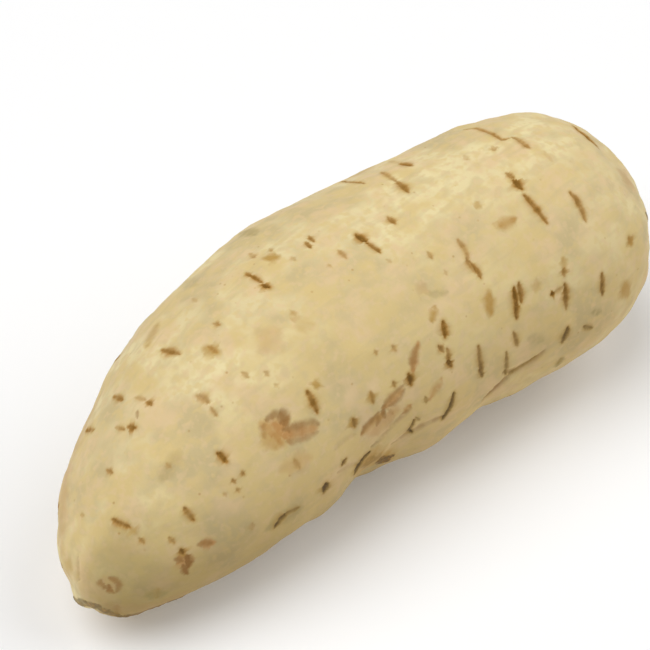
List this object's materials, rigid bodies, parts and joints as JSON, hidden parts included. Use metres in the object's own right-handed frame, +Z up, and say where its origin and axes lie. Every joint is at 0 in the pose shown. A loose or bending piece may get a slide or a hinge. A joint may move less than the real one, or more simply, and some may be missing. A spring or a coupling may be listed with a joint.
{
  "type": "white sweet potato",
  "caption": "Whole white sweet potato lying on its side, with a tapered root end, a blunt crown and pale skin marked by brown corky slits.",
  "frame": {"origin": "under the middle of the root's box, on the surface that it rests on", "axes": "+X from the tapered root end to the blunt crown, +Z up; both ends lean towards -Y"},
  "size_m": [0.2, 0.0838, 0.0718],
  "materials": {
    "skin": "matte"
  },
  "bodies": {
    "root": {"sweet_potato": "skin"}
  },
  "joints": []
}
